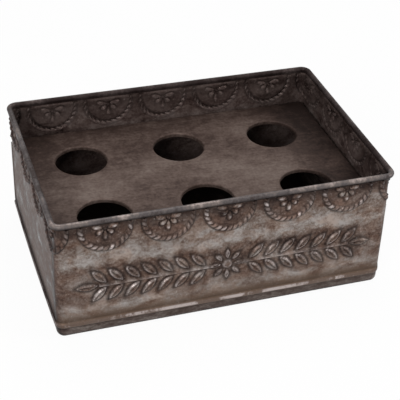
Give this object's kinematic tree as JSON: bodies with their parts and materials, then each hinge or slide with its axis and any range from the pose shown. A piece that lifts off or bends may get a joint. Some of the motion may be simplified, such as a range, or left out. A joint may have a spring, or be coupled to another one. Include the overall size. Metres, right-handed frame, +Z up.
{
  "type": "egg storage tin",
  "caption": "Open embossed sheet-metal box with a rolled rim, a base pan set inside the walls and a lift-out plate with round holes that hold eggs upright.",
  "frame": {"origin": "middle of the underside, on the surface that the tin stands on", "axes": "+X along the long front wall, towards its right end seen from the front; +Y from the front to the back; +Z up"},
  "size_m": [0.2734, 0.1854, 0.108],
  "materials": {
    "embossed_sheet": "dark zinc patina, mottled, worn bright on the relief and along the hem",
    "pan_sheet": "dark zinc patina",
    "plate_sheet": "dark zinc patina with faint streaks",
    "bracket": "dull zinc",
    "wire": "plain drawn wire",
    "solder": "dull tin solder"
  },
  "bodies": {
    "box": {"front_left_wall": "embossed_sheet", "back_right_wall": "embossed_sheet", "rim_wire": "wire", "base_pan": "pan_sheet", "rest_left_front": "bracket", "rest_left_back": "bracket", "rest_right_front": "bracket", "rest_right_back": "bracket", "seam_front_right": "solder", "seam_back_left": "solder"},
    "plate": {"egg_plate": "plate_sheet"}
  },
  "joints": [
    {"name": "plate_lift", "type": "slide", "parent": "box", "child": "plate", "axis": [0, 0, 1], "range_m": [0, 0.042]}
  ]
}
